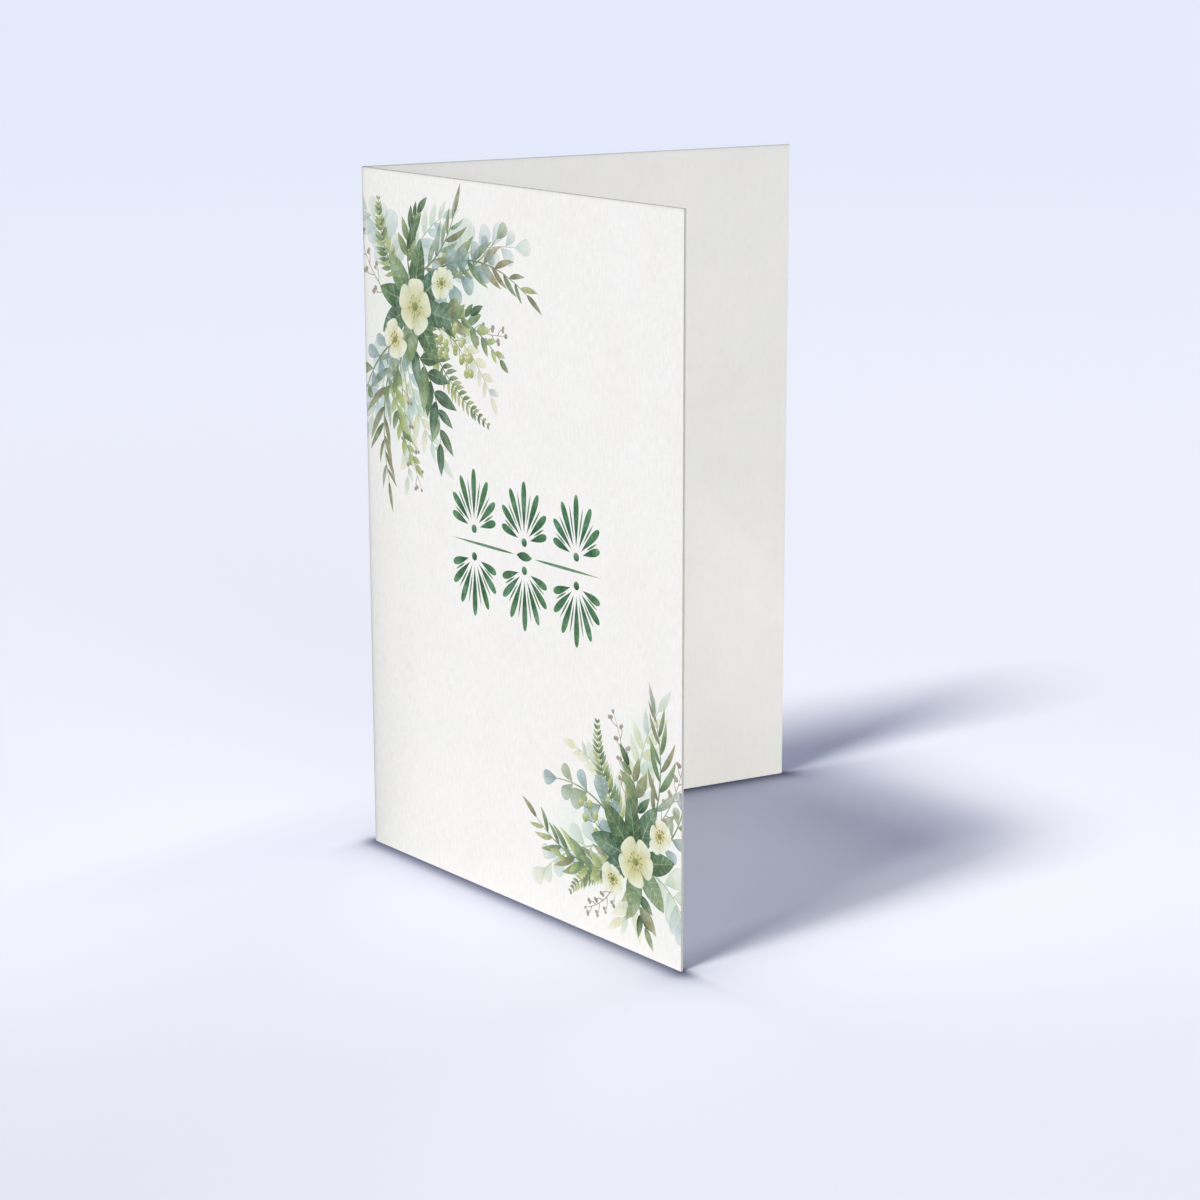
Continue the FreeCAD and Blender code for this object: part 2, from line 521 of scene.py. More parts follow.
@dataclass(frozen=True)
class Blossom:
    """An open flower seen from above or from one side.

    Attributes:
        centre: its middle.
        radius: to the tips of its petals.
        petals: how many it has.
        turn: the way its first petal points, in degrees.
        squash: how much of its height shows when it looks aside.
        lean: the way it leans, in degrees.
        colour: its petals' paint.
        seed: what its small differences are drawn from.
    """

    centre: Point
    radius: float
    petals: int = 5
    turn: float = 90.0
    squash: float = 0.86
    lean: float = 30.0
    colour: Colour = Colour.CREAM
    seed: int = 1

    STAMENS = 11
    POLLEN_RADIUS = 0.24
    FOLD_TURNS = (-13, 9)
    FOLD_HALF_WIDTHS = (0.04, 0.09, 0.1, 0.09, 0.07, 0.04, 0.02)

    def marks(self) -> list[Mark]:
        """Return the petals, the folds in them, the heart and the stamens."""
        draw = random.Random(self.seed)
        marks = []
        order = list(range(self.petals))
        for petal in order[::2] + order[1::2]:
            marks += self._petal(self.turn + 360.0 * petal / self.petals + draw.uniform(-7, 7), draw)
        marks.append(disc_mark((0.0, 0.0), self.radius * 0.17, Colour.HEART, draw.random()))
        for stamen in range(self.STAMENS):
            heading = 360.0 * stamen / self.STAMENS + draw.uniform(-9, 9)
            end = direction(heading) * self.radius * draw.uniform(0.3, 0.4)
            marks.append(stroke_mark(bow_path((0.0, 0.0), end, 0.05, 3), 0.12, 0.1, Colour.HEART))
            marks.append(disc_mark(end, self.POLLEN_RADIUS, Colour.POLLEN))
        return [self._place(mark) for mark in marks]

    def _petal(self, heading: float, draw: random.Random) -> list[Mark]:
        """Return one petal that points this way, and the two folds in it."""
        length = self.radius * draw.uniform(0.92, 1.05)
        width = length * draw.uniform(0.88, 1.02) * 5.0 / self.petals
        base = direction(heading) * self.radius * 0.1
        bend, seed = draw.uniform(-14, 14), draw.random()
        marks = [leaf_mark(base, heading, length * 0.92, width, self.colour, Profile.PETAL, bend, seed=seed)]
        for fold in self.FOLD_TURNS:
            root = direction(heading) * self.radius * 0.2
            tip = direction(heading + fold) * self.radius * draw.uniform(0.5, 0.68)
            crease = bow_path(root, tip, fold * 0.01, len(self.FOLD_HALF_WIDTHS) - 1)
            marks.append(Mark(crease, np.array(self.FOLD_HALF_WIDTHS), Colour.STRAW))
        return marks

    def _place(self, mark: Mark) -> Mark:
        """Turn a mark of the flat flower to the way it leans, and set it at its centre."""
        along = direction(self.lean)
        across = np.array([-along[1], along[0]])
        spread = mark.spine @ across
        mark.spine = (
            np.outer(mark.spine @ along, along)
            + np.outer(spread * self.squash, across)
            + np.asarray(self.centre)
        )
        return mark


@dataclass(frozen=True)
class Collar:
    """Large leaves that stand out round one point.

    Attributes:
        centre: where they begin.
        leaves: for each, the way it points, its length and its width.
        colours: their paints, taken in turn.
        seed: what their small differences are drawn from.
    """

    centre: Point
    leaves: tuple[tuple[float, float, float], ...]
    colours: tuple[Colour, ...] = (Colour.DEEP, Colour.BOTTLE, Colour.LEAF)
    seed: int = 1

    def marks(self) -> list[Mark]:
        """Return the leaves with their ribs."""
        draw = random.Random(self.seed)
        marks = []
        for index, (heading, length, width) in enumerate(self.leaves):
            base = np.asarray(self.centre) + direction(heading) * 2.2
            leaf = leaf_mark(
                base,
                heading,
                length,
                width,
                self.colours[index % len(self.colours)],
                Profile.OVATE,
                bend=draw.uniform(-24, 24),
                veins=1.0,
                seed=draw.random(),
                steps=16,
            )
            marks += [leaf, rib_mark(leaf, 0.42)]
        return marks


@dataclass(frozen=True)
class Palmette:
    """A fan of thick and thin rays, the traditional ornament.

    Attributes:
        foot: the point that the rays spread from.
        height: the length of its middle ray.
        up: whether it points up, or hangs.
    """

    foot: Point
    height: float
    up: bool = True

    RAY_STEP = 24.0
    RAYS = 3

    def marks(self) -> list[Mark]:
        """Return the thick rays, the hairlines between them and the bead at the foot.

        The rays stand RAY_STEP degrees apart, RAYS of them on each side of the middle one.
        """
        marks = []
        for step in range(-2 * self.RAYS, 2 * self.RAYS + 1):
            turn = step * self.RAY_STEP / 2
            heading = (90.0 if self.up else -90.0) + turn
            reach = self.height * (1.0 - 0.38 * (abs(turn) / (self.RAYS * self.RAY_STEP)) ** 1.3)
            thick = step % 2 == 0
            start = 0.16 if thick else 0.3
            base = np.asarray(self.foot) + direction(heading) * self.height * start
            length = reach * (1.0 if thick else 0.86) - self.height * start
            marks.append(
                leaf_mark(
                    base,
                    heading,
                    length,
                    self.height * (0.132 if thick else 0.036),
                    Colour.INK if thick else Colour.INK_LINE,
                    Profile.SPOON if thick else Profile.BLADE,
                    seed=step * 0.37,
                )
            )
        marks.append(disc_mark(self.foot, self.height * 0.07, Colour.INK, 0.3))
        return marks


# The kinds of leaf that the sprays use

LAUREL = LeafKind(Profile.LANCE, 8.6, 3.4, (Colour.DEEP, Colour.LEAF, Colour.BOTTLE), 16, 0.22, 0.6)
SMALL_LAUREL = LeafKind(Profile.LANCE, 6.2, 2.5, (Colour.LEAF, Colour.OLIVE, Colour.DEEP), 16, 0.16, 0.4)
WILLOW = LeafKind(Profile.LANCE, 7.4, 1.7, (Colour.OLIVE, Colour.LIME, Colour.LEAF), 22)
REED = LeafKind(Profile.LANCE, 8.2, 1.5, (Colour.OLIVE, Colour.SAGE, Colour.LEAF), 20)
LIMES = LeafKind(Profile.OVATE, 4.4, 1.9, (Colour.LIME, Colour.LIME, Colour.LEAF), 16, 0.12)
SPOONS = LeafKind(Profile.SPOON, 5.8, 3.9, (Colour.STEEL, Colour.STEEL, Colour.SAGE), 10, 0.16)
SMALL_SPOONS = LeafKind(Profile.SPOON, 4.4, 2.7, (Colour.SAGE, Colour.STEEL, Colour.LEAF), 12, 0.14)
GHOST_SPOONS = LeafKind(Profile.SPOON, 6.6, 4.3, (Colour.MIST, Colour.MIST, Colour.MINT), 10)
GHOST_LANCES = LeafKind(Profile.LANCE, 7.6, 2.4, (Colour.MINT, Colour.STRAW, Colour.MIST), 16)
GHOST_LIMES = LeafKind(Profile.OVATE, 5.2, 2.2, (Colour.STRAW, Colour.MINT), 12)


@dataclass(frozen=True)
class Cover:
    """The design of the cover: two corner sprays and the ornament between them.

    Attributes:
        ornament_centre: the middle of the ornament.
        ornament_width: from its first to its last palmette's foot.
        ornament_gap: half the space between its two rows.
        palmette_height: the height of each row.
        line_start: how far from the middle the two lines begin.
        line_margin: how far beyond the outer palmettes' feet they reach.
        lozenge: the length and the width of the lozenge in the middle.
    """

    ornament_centre: Point = (55.5, 74.0)
    ornament_width: float = 34.0
    ornament_gap: float = 2.9
    palmette_height: float = 12.6
    line_start: float = 3.4
    line_margin: float = 8.0
    lozenge: Point = (5.2, 1.9)

    def marks(self) -> list[Mark]:
        """Return every mark of the cover in the order in which it is painted."""
        motifs = [*self._upper_spray(), *self._lower_spray(), *self._palmettes()]
        marks = [mark for motif in motifs for mark in motif.marks()]
        return marks + self._ornament_lines()

    def _upper_spray(self) -> list:
        """Return the motifs of the spray in the upper corner at the fold."""
        pale, berries = Colour.PALE_STEM, (Colour.BERRY,)
        return [
            Sprig((20, 124), (53, 136), 3, 6, GHOST_SPOONS, stem=pale, seed=3),
            Sprig((15, 118), (27, 90), -4, 7, GHOST_LANCES, stem=pale, seed=5),
            Sprig((22, 120), (45, 105), 3, 7, GHOST_LIMES, stem=pale, seed=8),
            Sprig((16, 126), (29, 140), 2, 5, GHOST_LANCES, stem=pale, seed=9),
            Sprig((10, 118), (1, 94), 2, 5, GHOST_SPOONS, stem=pale, seed=10),
            Sprig((12, 124), (2, 139), -2, 5, GHOST_SPOONS, stem=pale, seed=51),
            Sprig((13, 110), (15, 84), 2, 6, GHOST_LIMES, stem=pale, seed=52),
            Twig((14, 120), (-1, 135), 3, 6, 4.4, 0.5, seed=11),
            Twig((24, 123), (50, 118), -2, 9, 4.6, 0.5, seed=12),
            Twig((13, 112), (20, 82), -2, 8, 4.2, 0.45, seed=53),
            Sprig((20, 125), (57, 127), 6, 8, WILLOW, 38, seed=13),
            Sprig((19, 127), (33, 141), -2, 5, REED, 28, seed=54),
            Frond((20, 120), (44, 99), -3, 19, 4.8, seed=14),
            Sprig((14, 116), (8, 82), -4, 7, REED, 34, seed=15),
            Sprig((20, 126), (47, 137), -3, 5, SPOONS, 58, opposite=True, seed=16),
            Sprig((24, 122), (48, 113), 2, 6, LIMES, 46, seed=55),
            Frond((13, 125), (6, 142), 2, 16, 3.9, seed=17),
            Sprig((14, 114), (27, 93), 4, 5, LAUREL, 44, seed=18),
            Sprig((12, 113), (-1, 98), -2, 4, SMALL_SPOONS, 56, opposite=True, seed=19),
            Sprig((17, 127), (20, 140), 2, 4, SMALL_LAUREL, 36, seed=56),
            Sprig((22, 122), (38, 121), -2, 4, SMALL_LAUREL, 42, seed=57),
            Sprig((12, 108), (18, 87), -3, 6, LIMES, 44, seed=58),
            Twig((24, 118), (38, 109), 2, 6, 3.8, 0.85, berries, Colour.STEM, seed=20),
            Collar(
                (18, 121),
                (
                    *((168, 10, 5.2), (-8, 12, 5.6), (128, 11, 5.2), (-52, 12, 5.6)),
                    *((34, 13, 5.8), (-104, 12, 5.6), (78, 12, 5.2), (-148, 11, 5.4)),
                ),
                seed=21,
            ),
            Sprig((17, 118), (9, 103), 1, 4, SMALL_SPOONS, 50, seed=59),
            Blossom((11.2, 112.8), 4.2, turn=40, squash=0.8, lean=120, colour=Colour.IVORY, seed=22),
            Blossom((28.2, 126.4), 4.0, turn=10, squash=0.76, lean=20, colour=Colour.IVORY, seed=23),
            Blossom((18.6, 120.6), 6.0, turn=80, squash=0.92, lean=-30, seed=24),
            Twig((24, 117), (30, 113), -1, 4, 2.6, 0.75, berries, Colour.STEM, seed=25),
        ]

    def _lower_spray(self) -> list:
        """Return the motifs of the spray in the lower corner at the free edge."""
        pale, berries = Colour.PALE_STEM, (Colour.BERRY,)
        return [
            Sprig((90, 20), (62, 10), -3, 5, GHOST_SPOONS, stem=pale, seed=33),
            Sprig((92, 24), (98, 51), 3, 6, GHOST_LANCES, stem=pale, seed=34),
            Sprig((88, 24), (72, 38), -3, 6, GHOST_LIMES, stem=pale, seed=35),
            Sprig((95, 18), (107, 8), 2, 4, GHOST_SPOONS, stem=pale, seed=36),
            Sprig((90, 16), (87, 6), 2, 3, GHOST_LANCES, stem=pale, seed=61),
            Twig((94, 24), (106, 44), -2, 8, 4.2, 0.5, seed=37),
            Twig((86, 16), (75, 5), 2, 7, 3.8, 0.45, seed=38),
            Twig((88, 24), (84, 48), -2, 7, 3.8, 0.45, seed=62),
            Sprig((89, 19), (59, 20), 5, 7, WILLOW, 38, seed=39),
            Frond((89, 24), (79, 45), 3, 18, 4.4, seed=40),
            Sprig((88, 22), (66, 30), -3, 4, SPOONS, 58, opposite=True, seed=41),
            Frond((88, 16), (70, 7), -2, 16, 3.8, seed=42),
            Sprig((94, 23), (97, 50), -3, 6, REED, 32, seed=43),
            Sprig((87, 18), (67, 14), 2, 5, LIMES, 44, seed=63),
            Sprig((97, 22), (106, 36), -2, 4, SMALL_SPOONS, 56, opposite=True, seed=64),
            Sprig((92, 15), (94, 6), -1, 3, SMALL_LAUREL, 46, seed=44),
            Sprig((90, 23), (89, 38), -2, 4, SMALL_LAUREL, 40, seed=65),
            Twig((85, 22), (75, 28), 2, 5, 3.6, 0.8, berries, Colour.STEM, seed=45),
            Collar(
                (91, 19),
                (
                    *((12, 10, 5.0), (172, 12, 5.4), (-44, 10, 5.0), (136, 12, 5.4)),
                    *((62, 12, 5.2), (-96, 10, 5.0), (100, 11, 5.0), (-150, 11, 5.2)),
                ),
                seed=46,
            ),
            Blossom((98.4, 25.8), 3.8, turn=20, squash=0.78, lean=50, colour=Colour.IVORY, seed=47),
            Blossom((83.8, 13.4), 3.7, turn=70, squash=0.78, lean=-20, colour=Colour.IVORY, seed=48),
            Blossom((91.0, 18.8), 5.5, turn=60, squash=0.9, lean=20, seed=49),
        ]

    def _palmettes(self) -> list[Palmette]:
        """Return three palmettes that stand and, below them, three that hang."""
        centre_x, centre_z = self.ornament_centre
        row = []
        for place in (-0.5, 0.0, 0.5):
            foot_x = centre_x + place * self.ornament_width
            row.append(Palmette((foot_x, centre_z + self.ornament_gap), self.palmette_height))
            row.append(Palmette((foot_x, centre_z - self.ornament_gap), self.palmette_height, up=False))
        return row

    def _ornament_lines(self) -> list[Mark]:
        """Return the two lines between the rows, and the lozenge in their middle."""
        centre = np.asarray(self.ornament_centre)
        length = self.ornament_width / 2 + self.line_margin - self.line_start
        marks = []
        for heading in (180.0, 0.0):
            begin = centre + direction(heading) * self.line_start
            marks.append(leaf_mark(begin, heading, length, 0.62, Colour.INK_LINE, Profile.LANCE))
        begin = centre - direction(0.0) * self.lozenge[0] / 2
        marks.append(leaf_mark(begin, 0.0, *self.lozenge, Colour.INK, Profile.BLADE))
        return marks


@dataclass(frozen=True)
class Wash:
    """Soft pale patches of wet colour behind a spray.

    Attributes:
        blobs: for each, its centre and its radius.
        spacing: how far apart the points are that carry it.
        margin: how far those points stay from the free edge.
        faintest: the least strength that gets a point.
    """

    blobs: tuple[Place, ...] = (
        *((19, 120, 26), (36, 124, 19), (12, 98, 17), (34, 134, 14)),
        *((90, 20, 24), (74, 20, 18), (94, 42, 15)),
    )
    spacing: float = 3.0
    margin: float = 0.5
    faintest: float = 0.004

    def strength(self, points: np.ndarray) -> np.ndarray:
        """Return how strong the wash is at each point, 0 to 1."""
        left = np.ones(len(points))
        for x, z, radius in self.blobs:
            far = np.linalg.norm(points - np.array([x, z]), axis=1) / radius
            left *= 1.0 - np.clip(1.0 - far, 0, 1) ** 1.4
        return 1.0 - left

    def lattice(self, width: float, height: float) -> np.ndarray:
        """Return points that are dense enough to carry the wash, wherever it shows."""
        xs = np.arange(self.spacing, width, self.spacing)
        zs = np.arange(self.spacing, height, self.spacing)
        grid = np.array([(x + (row % 2) * self.spacing / 2, z) for row, z in enumerate(zs) for x in xs])
        grid = grid[grid[:, 0] < width - self.margin]
        return grid[self.strength(grid) > self.faintest]


# The sheet


@dataclass
class FoldedSheet:
    """The sheet of board, folded once, with its print.

    Places on the sheet are millimetres: x across it, 0 at the crease and growing over the cover to its
    free edge, and z up. On the outer face x goes on round the fold and over the back leaf.

    Attributes:
        opening: the angle between the leaves, in degrees.
        fold_radius: the rounding of the fold outside.
        bead_radius: the bead inside it.
        facets: how many flat steps the fold's rounding has.
        smooth_margin: how far beyond the rounding the last station of the fold stands.
        width: each leaf from the crease to its free edge.
        height: from the standing edge to the top edge.
        board: the board's thickness.
        fold_x: the middle of the fold on the outer face.
        places: the x of each station of the section.
        outer: the section's outer point at each station, in the card's frame.
        inner: its inner point.
    """

    opening: float = 80.0
    fold_radius: float = 0.8
    bead_radius: float = 0.4
    facets: int = 12
    smooth_margin: float = 0.3
    width: float = field(init=False)
    height: float = field(init=False)
    board: float = field(init=False)
    fold_x: float = field(init=False)
    places: np.ndarray = field(init=False)
    outer: np.ndarray = field(init=False)
    inner: np.ndarray = field(init=False)

    def __post_init__(self) -> None:
        """Take the leaf's size and the board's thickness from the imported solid."""
        low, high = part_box(NODE)
        self.width = high[0] / METRES
        self.height = high[2] / METRES
        self.board = -low[1] / METRES
        self._lay_stations()

    def _lay_stations(self) -> None:
        """Work out the section: outer and inner points at each place across the sheet."""
        half = math.radians(self.opening / 2)
        inset = self.fold_radius - self.board
        centre = direction(self.opening / 2) * inset / math.sin(half)
        turn = 180.0 - self.opening
        arc = math.radians(turn) * self.fold_radius
        start = centre[0]
        self.fold_x = start - arc / 2
        outwards = direction(self.opening + 90.0) * self.board
        along_back = direction(self.opening)
        places, outer, inner = [], [], []

        def add(place: float, outside: np.ndarray, inside: np.ndarray) -> None:
            """Keep one station of the section."""
            places.append(place)
            outer.append(outside)
            inner.append(inside)

        for reach in (self.width, start + self.smooth_margin):
            add(start - arc - (reach - start), along_back * reach + outwards, along_back * reach)
        for step in range(self.facets + 1):
            share = step / self.facets
            outside = centre + direction(self.opening + 90.0 + share * turn) * self.fold_radius
            inside = direction(self.opening * (1.0 - share)) * self.bead_radius
            add(start - arc * (1 - share), outside, inside)
        for reach in (start + self.smooth_margin, self.width):
            add(reach, np.array([reach, -self.board]), np.array([reach, 0.0]))
        self.places = np.array(places)
        self.outer = np.array(outer)
        self.inner = np.array(inner)

    def fold(self, across: np.ndarray, depth: np.ndarray) -> np.ndarray:
        """Place points of the flat sheet round the fold.

        Args:
            across: their x on the sheet.
            depth: 0 on the outer face to 1 on the inner face.

        Returns:
            Their x and y in the card's frame, in millimetres.
        """
        flat = [
            np.interp(across, self.places, self.outer[:, axis]) * (1 - depth)
            + np.interp(across, self.places, self.inner[:, axis]) * depth
            for axis in (0, 1)
        ]
        return np.stack(flat, axis=1)


@dataclass
class PrintedSheet:
    """The outer face cut along every mark, then thickened, folded and coloured.

    Attributes:
        sheet: the board's form.
        cover: the print's design.
        wash: the pale wash behind it.
    """

    sheet: FoldedSheet
    cover: Cover = Cover()
    wash: Wash = Wash()

    # The share of the paper's colour that the cut edges have: the raw core's own tone, and on the top and
    # bottom edges painted shade as well
    LEVEL_EDGE_TONE_AND_SHADE = 0.55
    UPRIGHT_EDGE = 0.82

    # The bake layout: its squares per millimetre, the gap between its parts and an edge's strip
    COVER_SCALE = 1.0 / 166.0
    PLAIN_SCALE = 1.0 / 460.0
    GAP = 0.006
    STRIP = 0.008
    SPARE = 1.0

    SMOOTH_ANGLE = 30.0
    TINY = 1e-4

    def build(self) -> bpy.types.Object:
        """Make the card's mesh with its colours and its bake layout, and return its object."""
        marks = self.cover.marks()
        points, triangles, covers = self._cut_outlines(marks)
        card = self._raise_board(points, triangles)
        self._colour(card.data, marks, covers)
        self._lay_out(card.data)
        bpy.ops.object.shade_smooth_by_angle(angle=math.radians(self.SMOOTH_ANGLE))
        return card

    def _cut_outlines(self, marks: list[Mark]) -> tuple[np.ndarray, list, list]:
        """Divide the outer face along the outlines of all the marks.

        Args:
            marks: the print.

        Returns:
            The points, the triangles and, for each triangle, the marks that cover it in painting order.
        """
        sheet = self.sheet
        left, right, top = sheet.places[0], sheet.places[-1], sheet.height
        points = [(left, 0.0), (right, 0.0), (right, top), (left, top)]
        faces = [[0, 1, 2, 3]]
        owners = [-1]
        edges = []
        for place in sheet.places[1:-1]:
            edges.append((len(points), len(points) + 1))
            points += [(place, 0.0), (place, top)]
        points += [tuple(spot) for spot in self.wash.lattice(right, top)]
        for index, mark in enumerate(marks):
            for line, outline in enumerate(mark.outlines()):
                faces.append(list(range(len(points), len(points) + len(outline))))
                owners.append(index if line == 0 else -1)
                points += [tuple(spot) for spot in outline]
        found = delaunay_2d_cdt([Vector(spot) for spot in points], edges, faces, 1, self.TINY, True)
        spots, triangles, sources = found[0], found[2], found[5]
        kept, covers = [], []
        for triangle, source in zip(triangles, sources):
            if 0 not in source:
                continue
            kept.append(list(triangle))
            middle = sum(spots[corner][0] for corner in triangle) / 3
            on_cover = middle > sheet.fold_x
            covers.append(sorted({owners[face] for face in source} - {-1}) if on_cover else [])
        used = sorted({corner for triangle in kept for corner in triangle})
        order = {corner: index for index, corner in enumerate(used)}
        kept = [[order[corner] for corner in triangle] for triangle in kept]
        return np.array([tuple(spots[corner]) for corner in used]), kept, covers

    def _raise_board(self, points: np.ndarray, triangles: list) -> bpy.types.Object:
        """Give the flat outer face the board's thickness, and fold it.

        Args:
            points: the flat face's points.
            triangles: its triangles.

        Returns:
            The card, one closed mesh with its place on the sheet kept at every point.
        """
        rim = self._rim(triangles)
        corners = [corner for corner, _ in rim]
        copies = {corner: len(points) + index for index, corner in enumerate(corners)}
        faces = [list(triangle) for triangle in triangles]
        for triangle in self._inner_face(points, rim):
            faces.append([copies[corners[corner]] for corner in reversed(triangle)])
        for a, b in rim:
            faces.append([b, a, copies[a], copies[b]])
        flat = np.concatenate([points, points[corners]])
        depth = np.repeat([0.0, 1.0], [len(points), len(corners)])
        return self._make_piece(flat, depth, faces)

    def _inner_face(self, points: np.ndarray, rim: list[tuple[int, int]]) -> list:
        """Divide the blank inner face, between the corners of the rim alone.

        Args:
            points: the flat outer face's points.
            rim: its outer edges.

        Returns:
            The triangles, whose corners are numbered as the rim's edges are.
        """
        ahead = dict(rim)
        order = {corner: index for index, corner in enumerate(ahead)}
        uprights = []
        for place in self.sheet.places[1:-1]:
            ends = [index for index in ahead if abs(points[index][0] - place) < self.TINY]
            ends.sort(key=lambda index: points[index][1])
            uprights.append((ends[0], ends[-1]))
        edges = [(order[a], order[b]) for a, b in [*rim, *uprights]]
        spots = [Vector(points[corner]) for corner in ahead]
        return delaunay_2d_cdt(spots, edges, [self._loop(ahead, order)], 1, self.TINY, False)[2]

    def _make_piece(self, flat: np.ndarray, depth: np.ndarray, faces: list) -> bpy.types.Object:
        """Fold the board and make its mesh, with normals that point outward.

        Args:
            flat: every point's x and z on the sheet.
            depth: 0 on the outer face to 1 on the inner face, for each.
            faces: the faces between them.

        Returns:
            The card.
        """
        folded = self.sheet.fold(flat[:, 0], depth)
        mesh = bpy.data.meshes.new("printed_card")
        solid = np.stack([folded[:, 0], folded[:, 1], flat[:, 1]], axis=1) * METRES
        mesh.from_pydata(solid.tolist(), [], faces)
        places = mesh.attributes.new("Sheet", "FLOAT_VECTOR", "POINT")
        kept = np.stack([flat[:, 0], depth, flat[:, 1]], axis=1)
        places.data.foreach_set("vector", kept.astype(np.float32).ravel())
        card = bpy.data.objects.new("printed_card", mesh)
        bpy.context.scene.collection.objects.link(card)
        only(card)
        bpy.ops.object.mode_set(mode="EDIT")
        bpy.ops.mesh.select_all(action="SELECT")
        bpy.ops.mesh.normals_make_consistent(inside=False)
        bpy.ops.object.mode_set(mode="OBJECT")
        return card

    @staticmethod
    def _rim(triangles: list) -> list[tuple[int, int]]:
        """Return the face's outer edges, each in the direction in which its triangle runs."""
        sides = set()
        for a, b, c in triangles:
            sides.update(((a, b), (b, c), (c, a)))
        return [(a, b) for a, b in sides if (b, a) not in sides]

    @staticmethod
    def _loop(ahead: dict[int, int], order: dict[int, int]) -> list[int]:
        """Follow the outer edges once round, and return their corners' new numbers."""
        start = corner = next(iter(ahead))
        loop = []
        while True:
            loop.append(order[corner])
            corner = ahead[corner]
            if corner == start:
                return loop

    def _colour(self, mesh: bpy.types.Mesh, marks: list[Mark], covers: list) -> None:
        """Give every corner its ink, its place within its mark and the strength of the wash.

        Args:
            mesh: the folded card.
            marks: the print.
            covers: for each triangle of the flat face, the marks that cover it.
        """
        places = read_sheet(mesh)
        corners = np.empty(len(mesh.loops), dtype=np.int64)
        mesh.loops.foreach_get("vertex_index", corners)
        ink = np.ones((len(corners), 3))
        within = np.zeros((len(corners), 3))
        wash = np.zeros(len(corners))
        owned: list[list[int]] = [[] for _ in marks]
        for face in mesh.polygons:
            depth = places[list(face.vertices), 1]
            if depth.max() < 0.5:
                for mark in covers[face.index]:
                    owned[mark].append(face.loop_start)
            elif depth.min() < 0.5:
                # Cut edges take the core's tone; the top and bottom edges are darkened further as painted
                # shade.
                level = np.ptp(places[list(face.vertices), 2]) < self.TINY
                ink[list(face.loop_indices)] = self.LEVEL_EDGE_TONE_AND_SHADE if level else self.UPRIGHT_EDGE
        outside = places[corners, 1] < 0.5
        spots = places[corners][:, (0, 2)]
        on_cover = outside & (spots[:, 0] > self.sheet.fold_x - 0.01)
        wash[on_cover] = self.wash.strength(spots[on_cover])
        for mark, starts in zip(marks, owned):
            if starts:
                loops = np.array(starts)[:, None] + np.arange(3)[None]
                self._paint(mark, spots, loops, ink, within)
        store(mesh, "Ink", "FLOAT_COLOR", np.concatenate([ink, np.ones((len(ink), 1))], axis=1), "color")
        store(mesh, "Within", "FLOAT_VECTOR", within, "vector")
        store(mesh, "Wash", "FLOAT", wash, "value")

    def _paint(
        self, mark: Mark, spots: np.ndarray, loops: np.ndarray, ink: np.ndarray, within: np.ndarray
    ) -> None:
        """Lay one mark's paint over the ink that is there.

        Args:
            mark: the brush mark.
            spots: each corner's place on the sheet.
            loops: the corners of the triangles that the mark covers, (n, 3).
            ink: each corner's share of the paper's colour, changed here.
            within: each corner's place in its topmost mark, changed here.
        """
        paint = mark.colour.value
        paper = linear(PAPER)
        flat = loops.ravel()
        along, aside = mark.locate(spots[flat])
        base = np.minimum(linear(paint.base) / paper, 1.0)
        tip = np.minimum(linear(paint.tip) / paper, 1.0)
        colour = base[None] * (1 - along[:, None]) + tip[None] * along[:, None]
        centre = aside.reshape(-1, 3).mean(axis=1).repeat(3)
        edge = mark.ring or 0.9
        pooled = np.clip((np.abs(aside) - edge) / (1.001 - edge), 0, 1)
        darker = (1 - paint.rim * pooled) * (1 - paint.shade * (centre < 0))
        colour = colour * darker[:, None]
        strength = (1.0 - paint.fade * along)[:, None]
        glaze = ink[flat] * (1 + (colour - 1) * strength)
        cover = ink[flat] + (colour - ink[flat]) * strength
        ink[flat] = cover * paint.body + glaze * (1 - paint.body)
        if paint.body > 0.6 or mark.ring:
            within[flat] = np.stack([along, aside, np.full(len(along), mark.veins)], axis=1)

    def _lay_out(self, mesh: bpy.types.Mesh) -> None:
        """Lay the card out for baking, with most of the square given to the cover."""
        places = read_sheet(mesh)
        sheet = self.sheet
        layer = mesh.uv_layers.new(name="OFBake")
        corners = np.empty(len(mesh.loops), dtype=np.int64)
        mesh.loops.foreach_get("vertex_index", corners)
        uv = np.zeros((len(corners), 2))
        gap, scale, plain_scale = self.GAP, self.COVER_SCALE, self.PLAIN_SCALE
        column = gap * 2 + (sheet.width + self.SPARE) * scale
        for face in mesh.polygons:
            loops = list(face.loop_indices)
            spots = places[corners[loops]]
            x, depth, z = spots[:, 0], spots[:, 1], spots[:, 2]
            middle = x.mean()
            inner = depth.min() > 0.5
            if depth.max() < 0.5 and middle > sheet.fold_x:
                uv[loops] = np.stack([gap + (x - sheet.fold_x) * scale, gap + z * scale], axis=1)
            elif inner or depth.max() < 0.5:
                row = 0 if not inner else (1 if middle > sheet.fold_x else 2)
                across = np.abs(x - sheet.fold_x) * plain_scale
                step = sheet.height * plain_scale + gap
                uv[loops] = np.stack([column + across, gap + row * step + z * plain_scale], axis=1)
            else:
                uv[loops] = self._edge_layout(x, depth, z)
        layer.data.foreach_set("uv", uv.astype(np.float32).ravel())

    def _edge_layout(self, x: np.ndarray, depth: np.ndarray, z: np.ndarray) -> np.ndarray:
        """Lay one face of a cut edge out in its strip along the top of the square."""
        sheet = self.sheet
        whole = sheet.places[-1] - sheet.places[0]
        if np.ptp(z) < self.TINY:
            row = 0 if z.mean() > sheet.height / 2 else 1
            along = (x - sheet.places[0]) / whole
        else:
            row = 2 if x.mean() > 0 else 3
            along = z / sheet.height
        low = 1.0 - self.GAP - (row + 1) * (self.STRIP + self.GAP)
        reach = (sheet.width + self.SPARE) * self.COVER_SCALE
        return np.stack([self.GAP + along * reach, low + depth * self.STRIP], axis=1)


# Mesh helpers


